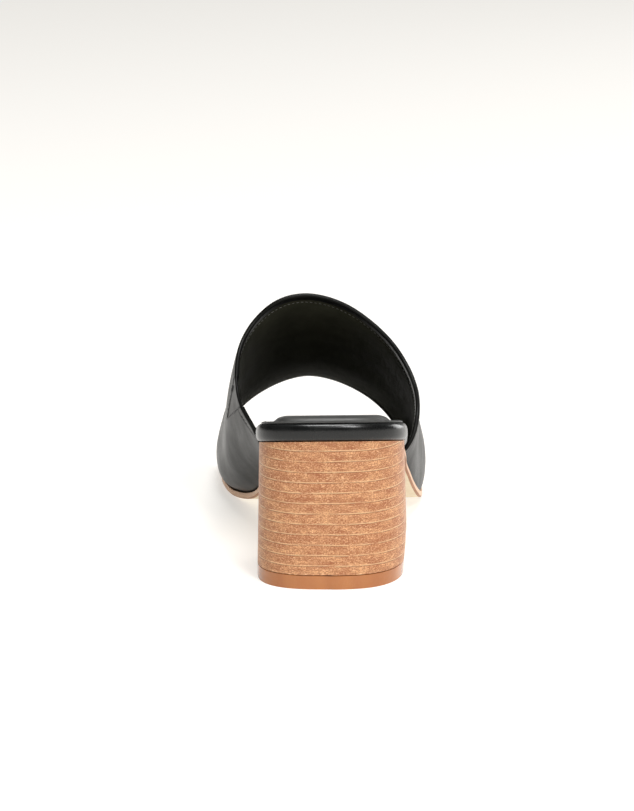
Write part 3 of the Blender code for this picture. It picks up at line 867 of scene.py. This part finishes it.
class Finish:
    """A procedural material. Its patterns and relief are in millimetres on the shoe."""

    def __init__(self, name, colour, roughness, coat=0.0, coat_roughness=0.2):
        self.material = bpy.data.materials.new(name)
        self.material.use_nodes = True
        self.tree = self.material.node_tree
        self.shader = self.tree.nodes["Principled BSDF"]
        self.place = self.add("TexCoord").outputs["Object"]
        self.set("Base Color", (*colour, 1.0))
        self.set("Roughness", roughness)
        self.set("Coat Weight", coat)
        self.set("Coat Roughness", coat_roughness)

    def fill(self, socket, value):
        """Link a socket to another node, or set its constant."""
        if isinstance(value, bpy.types.NodeSocket):
            self.tree.links.new(value, socket)
        else:
            socket.default_value = value

    def set(self, name, value):
        self.fill(self.shader.inputs[name], value)

    def add(self, kind, *values):
        """A new node, its first sockets filled."""
        node = self.tree.nodes.new("ShaderNode" + kind)
        for socket, value in zip(node.inputs, values):
            self.fill(socket, value)
        return node

    def math(self, operation, *values):
        node = self.add("Math", *values)
        node.operation = operation
        return node.outputs[0]

    def texture(self, kind, size, stretch):
        """A pattern node with features of about this size, drawn out along x, y and z."""
        mapping = self.add("Mapping", self.place)
        mapping.inputs["Scale"].default_value = [1 / (size * MM * k) for k in stretch]
        node = self.add(kind, mapping.outputs[0])
        node.inputs["Scale"].default_value = 1.0
        return node

    def noise(self, size, detail=3.0, stretch=(1, 1, 1)):
        """Blotches of about this size, from 0 to 1."""
        node = self.texture("TexNoise", size, stretch)
        node.inputs["Detail"].default_value = detail
        return node.outputs[0]

    def spread(self, value, start, end, low=0.0, high=1.0):
        """The value carried from one range to another, and held at its ends."""
        return self.add("MapRange", value, start, end, low, high).outputs[0]

    def mix(self, share, one, two):
        """A colour between two others."""
        node = self.add("Mix", share)
        node.data_type = "RGBA"
        sockets = [socket for socket in node.inputs if socket.type == "RGBA"]
        for socket, colour in zip(sockets, (one, two)):
            linked = isinstance(colour, bpy.types.NodeSocket)
            self.fill(socket, colour if linked else (*colour, 1.0))
        return [socket for socket in node.outputs if socket.type == "RGBA"][0]

    def relief(self, height, depth, below=None):
        """Raised by a height from 0 to 1 times a depth."""
        node = self.add("Bump")
        node.inputs["Strength"].default_value = 1.0
        node.inputs["Distance"].default_value = depth * MM
        self.fill(node.inputs["Height"], height)
        if below is not None:
            self.fill(node.inputs["Normal"], below)
        return node.outputs[0]


# Leathers: dark and light tone, roughness, index of refraction, size and depth of
# the pebbles in millimetres, gloss coat, sheen, and how long the grain is along y
LEATHERS = {
    "black_leather": (
        (0.0060, 0.0060, 0.0053), (0.0110, 0.0110, 0.0098), 0.33, 1.19, 0.55, 0.030, 0.0, 0.0, 1,
    ),
    "black_lining": (
        (0.044, 0.044, 0.030), (0.062, 0.062, 0.043), 0.60, 1.06, 0.60, 0.065, 0.0, 0.0, 1,
    ),
    "rand_leather": (
        (0.0060, 0.0063, 0.0062), (0.010, 0.0105, 0.0104), 0.27, 1.42, 0.50, 0.012, 0.15, 0.0, 1,
    ),
    "sock_leather": (
        (0.034, 0.034, 0.032), (0.060, 0.060, 0.056), 0.43, 1.66, 0.60, 0.030, 0.0, 0.3, 3,
    ),
}
SOFT_GLOSS = 0.25


def make_leather(name):
    """Black leather: fine pebbles, soft unevenness, and a slightly cloudy tone."""
    dark, light, roughness, index, grain, depth, coat, sheen, along = LEATHERS[name]
    streak = (1, along, 1)
    f = Finish(name, dark, roughness, coat, SOFT_GLOSS)
    f.set("IOR", index)
    f.set("Sheen Weight", sheen)
    f.set("Sheen Roughness", SOFT_GLOSS)
    cloud = f.noise(11, 4.0, streak)
    fine = f.noise(0.30, 3.0, streak)
    f.set("Base Color", f.mix(f.spread(cloud, 0.35, 0.7), dark, light))
    cloudy = f.spread(cloud, 0.3, 0.7, -0.05, 0.05)
    worn = f.spread(fine, 0.3, 0.7, -0.03, 0.03)
    f.set("Roughness", f.math("ADD", f.math("ADD", cloudy, worn), roughness))
    cells = f.texture("TexVoronoi", grain, streak).outputs["Distance"]
    pebbles = f.math("MULTIPLY", cells, f.noise(1.6, 2.0))
    waves = f.relief(f.noise(6, 2.0, streak), 0.10)
    skin = f.math("ADD", pebbles, f.math("MULTIPLY", fine, 0.4))
    f.set("Normal", f.relief(skin, depth, waves))
    return f.material


# Stacked look of the heel: height of the lowest joint, pitch of the layers, how far
# a joint sways, and the tones
FIRST_JOINT = 9.60 * MM
LAYER_PITCH = 4.23 * MM
JOINT_SWAY = 0.16 * MM
LAYER_MEAN = (0.62, 0.33, 0.18)
LAYER_LIGHT = (0.81, 0.437, 0.215)
LAYER_DEEP = (0.50, 0.200, 0.090)
FLECK_DARK = (0.38, 0.125, 0.055)
FLECK_LIGHT = (1.0, 0.68, 0.40)
GRAIN_TONE = (0.43, 0.165, 0.075)
JOINT_DARK = (0.25, 0.10, 0.05)
JOINT_LIGHT = (0.93, 0.66, 0.38)


def make_stacked_leather():
    """Pressed layers: mottled tan, each a little different, with a fine pale and dark joint."""
    f = Finish("stacked_leather", LAYER_MEAN, 0.42)
    f.set("IOR", 1.33)
    sway = f.spread(f.noise(22, 1.0), 0.3, 0.7, -JOINT_SWAY, JOINT_SWAY)
    above_floor = f.add("SeparateXYZ", f.place).outputs[2]
    level = f.math("SUBTRACT", f.math("ADD", above_floor, sway), FIRST_JOINT)
    layers = f.math("DIVIDE", level, LAYER_PITCH)
    number = f.math("ROUND", layers)
    beside = f.math("MULTIPLY", f.math("SUBTRACT", layers, number), LAYER_PITCH)
    chance = f.add("TexWhiteNoise")
    chance.noise_dimensions = "1D"
    f.fill(chance.inputs["W"], f.math("FLOOR", layers))
    blotch = f.noise(4.6, 5.0, (1.8, 1.8, 0.5))
    fleck = f.noise(0.36, 3.0, (1.6, 1.6, 0.8))
    grain = f.noise(0.9, 4.0, (2.2, 2.2, 0.6))
    shade = f.math("ADD", f.math("MULTIPLY", chance.outputs[0], 0.10), blotch)
    base = f.mix(f.spread(shade, 0.38, 0.72), LAYER_LIGHT, LAYER_DEEP)
    base = f.mix(f.spread(fleck, 0.49, 0.61, 0.0, 0.85), base, FLECK_DARK)
    base = f.mix(f.spread(fleck, 0.45, 0.33, 0.0, 0.80), base, FLECK_LIGHT)
    base = f.mix(f.spread(grain, 0.48, 0.66, 0.0, 0.60), base, GRAIN_TONE)
    broken = f.spread(f.noise(5.0, 3.0, (1, 1, 0.3)), 0.36, 0.52, 0.15, 0.9)
    for tone, share, centre, core, fade in (
        (JOINT_DARK, 0.75, -0.26 * MM, 0.07 * MM, 0.22 * MM),
        (JOINT_LIGHT, 0.85, 0.06 * MM, 0.10 * MM, 0.24 * MM),
    ):
        gap = f.math("ABSOLUTE", f.math("SUBTRACT", beside, centre))
        line = f.spread(gap, core, fade, 1.0, 0.0)
        base = f.mix(f.math("MULTIPLY", line, f.math("MULTIPLY", broken, share)), base, tone)
    f.set("Base Color", base)
    f.set("Roughness", f.spread(fleck, 0.3, 0.7, 0.36, 0.52))
    joint = f.spread(f.math("ABSOLUTE", beside), 0.05 * MM, 0.30 * MM)
    f.set("Normal", f.relief(joint, 0.04, f.relief(fleck, 0.035)))
    return f.material


# Tones of the lift: mean, the two of its streaks, and its fine flecks
LIFT_TONES = [(0.50, 0.185, 0.065), (0.53, 0.197, 0.055), (0.46, 0.158, 0.042), (0.62, 0.28, 0.11)]


def make_lift_finish():
    """Glossy tan lift with faint upright streaks."""
    mean, light, deep, flecks = LIFT_TONES
    f = Finish("tan_lift", mean, 0.22, 0.25, 0.06)
    streak = f.noise(8.0, 1.0, (1, 1, 9))
    fine = f.noise(0.5, 2.0, (1, 1, 3))
    base = f.mix(f.spread(streak, 0.3, 0.7), light, deep)
    f.set("Base Color", f.mix(f.spread(fine, 0.5, 0.75, 0.0, 0.12), base, flecks))
    f.set("Roughness", f.spread(streak, 0.3, 0.7, 0.16, 0.26))
    f.set("Normal", f.relief(f.noise(4, 2.0, (1, 1, 2)), 0.05))
    return f.material


# Parts of the sole: light and dark tone, and roughness
SOLE_FINISHES = {
    "sole_edge": ((0.90, 0.575, 0.37), (0.80, 0.480, 0.29), 0.46),
    "sole_underside": ((0.83, 0.73, 0.55), (0.75, 0.63, 0.45), 0.60),
    # the lower corner's dark tones are painted shade on the chamfer that faces down
    "sole_corner_painted_shade": ((0.42, 0.18, 0.07), (0.32, 0.12, 0.04), 0.45),
}


def make_sole_finish(name):
    """Pressed sole material: fine fibres and a slightly uneven tone."""
    light, dark, roughness = SOLE_FINISHES[name]
    f = Finish(name, light, roughness)
    cloud = f.noise(7, 4.0)
    fibre = f.noise(0.45, 3.0, (1, 2.5, 1))
    tone = f.mix(f.spread(cloud, 0.35, 0.7), light, dark)
    f.set("Base Color", f.mix(f.spread(fibre, 0.5, 0.75, 0.0, 0.5), tone, dark))
    f.set("Roughness", f.spread(fibre, 0.3, 0.7, roughness - 0.06, roughness + 0.08))
    f.set("Normal", f.relief(fibre, 0.03))
    return f.material


# Threads: dark and light tone
THREADS = {
    "black_thread": ((0.028, 0.028, 0.026), (0.055, 0.055, 0.051)),
    # near-black cord: painted shadow of the gap under the gore's lower leg and in its nick
    "painted_shadow_cord": ((0.002, 0.002, 0.002), (0.006, 0.006, 0.006)),
    # pale grey thread: the sheen of black thread painted into its colour, for the lining's row
    "painted_sheen_thread": ((0.13, 0.13, 0.12), (0.22, 0.22, 0.20)),
}


def make_thread(name):
    """Waxed thread with twisted strands."""
    dark, light = THREADS[name]
    f = Finish(name, dark, 0.42)
    twist = f.noise(0.16, 2.0, (1.5, 1, 1))
    f.set("Base Color", f.mix(f.spread(twist, 0.35, 0.65), dark, light))
    f.set("Roughness", f.spread(twist, 0.3, 0.7, 0.36, 0.55))
    f.set("Normal", f.relief(twist, 0.03))
    return f.material


# Stitches, and the near-black cords of painted shadow along the gore's lower leg and in its
# nick: pitch, length and radius in millimetres
BAND_STITCH = (2.8, 1.9, 0.20)
LINING_STITCH = (1.9, 1.2, 0.17)
GORE_SHADOW_CORD = (0.4, 0.7, 0.27)
NICK_SHADOW_CORD = (0.4, 0.9, 0.60)
STITCH_RINGS = 7
STITCH_SIDES = 8
STITCH_FLATNESS = 0.8
LOOK_AHEAD = 0.5 * MM


def along_path(values, travel, places):
    """Rows of values read at places along a path."""
    columns = [np.interp(places, travel, values[:, k]) for k in range(3)]
    return np.stack(columns, axis=-1)


def stitches(name, slot, rows, thread, size=BAND_STITCH):
    """Rows of small stitches as one mesh. A row is its path and the outward direction
    at each of the path's points."""
    pitch, length, radius = (value * MM for value in size)
    t = np.linspace(-1, 1, STITCH_RINGS)
    turn = np.linspace(0, 2 * math.pi, STITCH_SIDES, endpoint=False)
    girth = radius * np.sqrt(1 - t**4)
    verts, faces = [], []
    for points, outward in rows:
        steps = np.linalg.norm(np.diff(points, axis=0), axis=1)
        travel = np.concatenate(([0.0], np.cumsum(steps)))
        centres = np.arange(pitch / 2, travel[-1], pitch)
        place = along_path(points, travel, centres)
        up = unit(along_path(outward, travel, centres))
        along = unit(along_path(points, travel, centres + LOOK_AHEAD) - place)
        across = unit(np.cross(along, up))
        for c, n, a, b in zip(place, up, along, across):
            faces += quads(STITCH_RINGS, STITCH_SIDES, len(verts))
            for k in range(STITCH_RINGS):
                for angle in turn:
                    spoke = b * math.cos(angle) + n * math.sin(angle) * STITCH_FLATNESS
                    verts.append(c + a * t[k] * length / 2 + spoke * girth[k])
    dress(new_object(name, put(np.array(verts)), faces, [thread]), slot)


# Depths of the seams in the band's wall, and of a leg of the gore
SEAM_FLOOR_OUT = 0.10 * MM
SEAM_FLOOR_IN = UPPER_WALL - thinned(LINING_SEAM_PLACE) - 0.02 * MM
STITCH_SUNK = 0.02 * MM


def seam_row(u, edge, depth, distance=SEAM_PLACE):
    """Path of a seam at a depth in the wall and a distance from an edge of the band,
    and the direction it faces: outward above the middle of the wall, else inward."""
    y, _, rate = edge_frame(u, edge)
    y = y + distance * rate * (1 if edge is REAR else -1)
    inward = SKIN.inward(u, y)
    points = SKIN.at(u, y) + inward * depth
    return points, (inward if depth > UPPER_WALL / 2 else -inward)


def on_wall(y, z):
    """Places across where the medial wall has these heights."""
    u = np.linspace(-1.0, -0.3, 300)
    found = []
    for place, height in zip(y, z):
        rise = SKIN.at(u, np.full(u.shape, place))[:, 2]
        found.append(np.interp(height, np.maximum.accumulate(rise), u))
    return np.array(found)


def wall_path(start, end, away):
    """A path on the medial wall between two points of its side view, moved sideways."""
    size = np.array((LENGTH, INSTEP_HEIGHT))
    start, end = np.array(start) * size, np.array(end) * size
    leg = unit(end - start)
    t = np.linspace(0.01, 0.99, 60)[:, None]
    path = start + (end - start) * t + np.array((leg[1], -leg[0])) * away
    u = on_wall(path[:, 0], path[:, 1])
    inward = SKIN.inward(u, path[:, 0])
    return SKIN.at(u, path[:, 0]) + inward * STITCH_SUNK, -inward


# Reach of the seams along the edges, places across; the topline's leaves out the gore
SEAM_REACH = (-0.955, 0.975)
BELOW_GORE = -0.80
ABOVE_GORE = -0.66

# Stitches over the gore's upper leg, the near-black cord of painted shadow in its nick,
# and the sock's seam: how far forward it runs, how deep it lies and which way it faces
GORE_STITCH_PLACE = 1.3 * MM
NICK_PLACE = 0.5 * MM
NICK_POINTS = 9
SOCK_SEAM_END = 0.062
SOCK_STITCH_SUNK = 0.04 * MM
SOCK_STITCH_FACES = (0.0, 0.3, 1.0)


def sock_path():
    """The seam round the sock's end at the seat."""
    loops = outline(rungs(0.0, SOCK_SEAM_END))
    inset = SOCK_MARGIN + SOCK_SEAM
    medial, lateral = (loops[side][0] - loops[side][1] * inset for side in (-1, 1))
    flat = np.concatenate((medial[::-1], lateral[1:]))
    height = footbed_top(flat[:, 1]) + GAP + SOCK - SOCK_STITCH_SUNK
    return np.column_stack((flat, height)), np.tile(SOCK_STITCH_FACES, (len(flat), 1))


def make_stitches():
    """Stitches of the topline, the toe edge, the gore and the sock, and near-black cords
    of painted shadow along the gore's lower leg and in its nick.
    """
    thread, dark, pale = (make_thread(name) for name in THREADS)
    u = np.linspace(*SEAM_REACH, 500)
    below = np.linspace(SEAM_REACH[0], BELOW_GORE, 60)
    lining_row = seam_row(u, REAR, SEAM_FLOOR_IN, LINING_SEAM_PLACE)
    # the lining's stitches take the pale thread, whose colour is painted sheen on black thread
    stitches("lining_stitches", "upper_leather", [lining_row], pale, LINING_STITCH)
    rows = [
        seam_row(u, FRONT, SEAM_FLOOR_OUT),
        seam_row(u[u > ABOVE_GORE], REAR, SEAM_FLOOR_OUT),
        seam_row(below, REAR, SEAM_FLOOR_OUT),
        wall_path(GORE_POINT, GORE_UPPER, GORE_STITCH_PLACE),
    ]
    stitches("band_stitches", "upper_leather", rows, thread)
    # a continuous near-black cord along the lower leg paints the shadow under the gore's edge
    lower_leg = wall_path(GORE_POINT, GORE_LOWER, 0.0)
    stitches("gore_lower_shadow_cord", "gore", [lower_leg], dark, GORE_SHADOW_CORD)
    # a thick near-black cord in the nick paints its shadow
    nick = [part[-NICK_POINTS:] for part in wall_path(GORE_POINT, GORE_UPPER, NICK_PLACE)]
    stitches("gore_nick_shadow_cord", "gore", [nick], dark, NICK_SHADOW_CORD)
    stitches("sock_stitches", "sock_leather", [sock_path()], thread)


# Camera of the photograph: image size, focal length in pixels of the image, and
# place and direction in the shoe's frame
IMAGE = (634, 811)
FOCAL_PIXELS = 3921.0
SENSOR = 36.0
CAMERA_PLACE = (-0.0714, -1.5145, 0.4275)
CAMERA_AZIMUTH = -2.5
CAMERA_PITCH = 13.3


def aim(obj, place, direction):
    """Put an object at a place, facing along a direction."""
    turn = direction.to_track_quat("-Z", "Y")
    obj.matrix_world = Matrix.LocRotScale(Vector(place), turn, None)


def make_camera():
    """The photograph's view."""
    data = bpy.data.cameras.new("camera")
    data.sensor_width = SENSOR
    data.lens = FOCAL_PIXELS / max(IMAGE) * SENSOR
    data.clip_start = 0.05
    data.clip_end = 50.0
    camera = placed("camera", data)
    azimuth, pitch = math.radians(CAMERA_AZIMUTH), math.radians(CAMERA_PITCH)
    level = Vector((-math.sin(azimuth), math.cos(azimuth), 0.0))
    aim(camera, CAMERA_PLACE, level * math.cos(pitch) - Vector((0.0, 0.0, math.sin(pitch))))
    bpy.context.scene.camera = camera


# Soft boxes: name, place, size and power; all look at the same point
LIT_POINT = (0.0, 0.05, 0.03)
LIGHTS = [
    ("key", (0.70, -1.7, 1.8), (0.5, 0.5), 34),
    ("top", (0.1, -0.2, 2.0), (0.9, 0.9), 36),
    ("right", (1.4, 1.2, 0.4), (1.0, 0.8), 12),
]

# World brightness towards the camera's side, and towards the sides and the back,
# and the two directions along y between which it changes
FRONT_GLOW = 0.13
ROUND_GLOW = 1.12
GLOW_CHANGE = (-0.45, 0.35)

FLOOR_HALF = 14.0
FLOOR_TONE = (0.50, 0.49, 0.475)
FLOOR_GLOW = (1.0, 0.975, 0.925, 1.0)
FLOOR_GLOW_STRENGTH = 0.62


def make_world():
    """White surroundings that grow dim towards the camera's side."""
    world = bpy.data.worlds.new("surround")
    world.use_nodes = True
    tree = world.node_tree
    direction = tree.nodes.new("ShaderNodeTexCoord").outputs["Generated"]
    split = tree.nodes.new("ShaderNodeSeparateXYZ")
    tree.links.new(direction, split.inputs[0])
    reach = tree.nodes.new("ShaderNodeMapRange")
    for socket, number in zip(reach.inputs[1:5], (*GLOW_CHANGE, FRONT_GLOW, ROUND_GLOW)):
        socket.default_value = number
    tree.links.new(split.outputs[1], reach.inputs[0])
    tree.links.new(reach.outputs[0], tree.nodes["Background"].inputs["Strength"])
    bpy.context.scene.world = world


def make_floor():
    """A wide white floor."""
    mesh = bpy.data.meshes.new("floor")
    corners = [(x * FLOOR_HALF, y * FLOOR_HALF, 0) for x, y in ((-1, -1), (1, -1), (1, 1), (-1, 1))]
    mesh.from_pydata(corners, [], [(0, 1, 2, 3)])
    finish = Finish("white_floor", FLOOR_TONE, 0.8)
    finish.set("Emission Color", FLOOR_GLOW)
    finish.set("Emission Strength", FLOOR_GLOW_STRENGTH)
    mesh.materials.append(finish.material)
    placed("floor", mesh)


def make_studio():
    """A white floor, a pale surround and soft boxes that look at the shoe."""
    bpy.context.scene.view_settings.view_transform = "Standard"
    make_world()
    make_floor()
    for name, place, size, power in LIGHTS:
        data = bpy.data.lights.new(name, "AREA")
        data.shape = "RECTANGLE"
        data.size, data.size_y = size
        data.energy = power
        aim(placed(name, data), place, Vector(LIT_POINT) - Vector(place))


def make_band():
    """The leather band with its lining, and the gore's panel in its notch."""
    materials = [make_leather("black_leather"), make_leather("black_lining")]
    upper = band("band", materials, 0.0, UPPER_WALL)
    cut(upper, gore_wedge("notch_cutter", 0.0, GORE_NICK), "DIFFERENCE")
    dress(upper, "upper_leather", "upper")
    gore = band("gore_panel", materials, GORE_SUNK, GORE_WALL, 120, (-1.0, -0.3), False)
    cut(gore, gore_wedge("gore_cutter", -GORE_UNDER), "INTERSECT")
    dress(gore, "gore", "side_gore")


def main():
    """The whole shoe in its studio."""
    make_camera()
    make_band()
    make_footbed(make_leather("rand_leather"))
    make_sock(make_leather("sock_leather"))
    make_outsole([make_sole_finish(name) for name in SOLE_FINISHES])
    make_heel(make_stacked_leather())
    make_top_piece(make_lift_finish())
    make_stitches()
    make_studio()


main()
